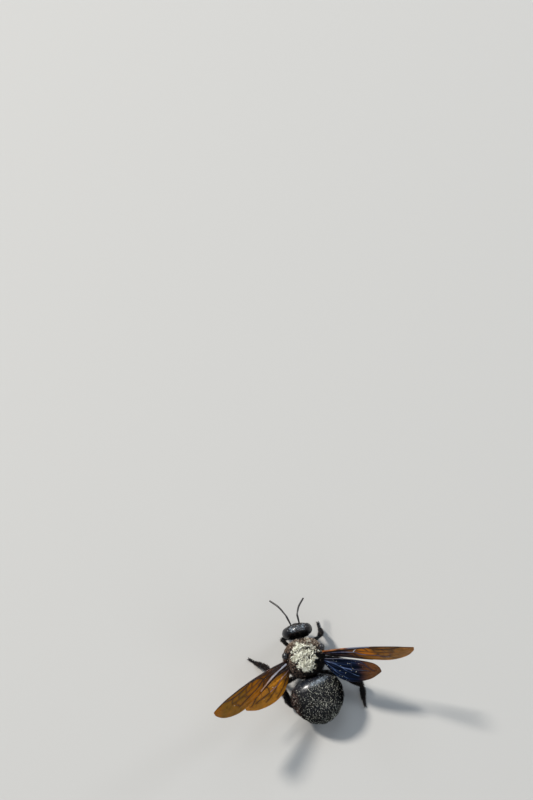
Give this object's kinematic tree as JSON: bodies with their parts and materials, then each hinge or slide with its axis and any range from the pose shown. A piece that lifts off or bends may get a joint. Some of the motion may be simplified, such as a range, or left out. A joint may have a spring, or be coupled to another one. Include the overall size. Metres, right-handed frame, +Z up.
{
  "type": "bee",
  "caption": "Life-size still model of a violet carpenter bee standing with its amber and violet wings half spread, its furry back dusted with pale pollen.",
  "frame": {"origin": "on the floor, under the middle of the object's box", "axes": "+Z is up. The bee faces -Y. Its left side is +X."},
  "size_m": [0.0394, 0.0252, 0.0176],
  "materials": {
    "black_fur": "dense brush of fine black hair",
    "black_shell": "finely pitted glossy black shell with short hair",
    "eye": "polished black-brown compound eye",
    "amber_wing": "smoky amber film with dark veins, violet sheen near the root",
    "violet_wing": "dark film with a blue-violet sheen, amber towards the tip"
  },
  "bodies": {
    "root": {"abdomen_ring_1": "black_shell", "abdomen_ring_2": "black_shell", "abdomen_ring_3": "black_shell", "abdomen_ring_4": "black_shell", "abdomen_ring_5": "black_shell", "abdomen_ring_6": "black_shell", "antenna_left_flagellum": "black_shell", "antenna_left_scape": "black_shell", "antenna_right_flagellum": "black_shell", "antenna_right_scape": "black_shell", "eye_left": "eye", "eye_right": "eye", "forewing_left": "amber_wing", "forewing_right": "amber_wing", "head": "black_shell", "hindwing_left": "violet_wing", "hindwing_right": "violet_wing", "leg_front_left_coxa": "black_shell", "leg_front_left_femur": "black_shell", "leg_front_left_foot": "black_fur", "leg_front_left_tibia": "black_fur", "leg_front_right_coxa": "black_shell", "leg_front_right_femur": "black_shell", "leg_front_right_foot": "black_fur", "leg_front_right_tibia": "black_fur", "leg_hind_left_coxa": "black_shell", "leg_hind_left_femur": "black_shell", "leg_hind_left_foot": "black_fur", "leg_hind_left_tibia": "black_fur", "leg_hind_right_coxa": "black_shell", "leg_hind_right_femur": "black_shell", "leg_hind_right_foot": "black_fur", "leg_hind_right_tibia": "black_fur", "leg_mid_left_coxa": "black_shell", "leg_mid_left_femur": "black_shell", "leg_mid_left_foot": "black_fur", "leg_mid_left_tibia": "black_fur", "leg_mid_right_coxa": "black_shell", "leg_mid_right_femur": "black_shell", "leg_mid_right_foot": "black_fur", "leg_mid_right_tibia": "black_fur", "mandible_left": "black_shell", "mandible_right": "black_shell", "tegula_left": "black_shell", "tegula_right": "black_shell", "thorax": "black_fur", "tongue": "black_shell"}
  },
  "joints": []
}
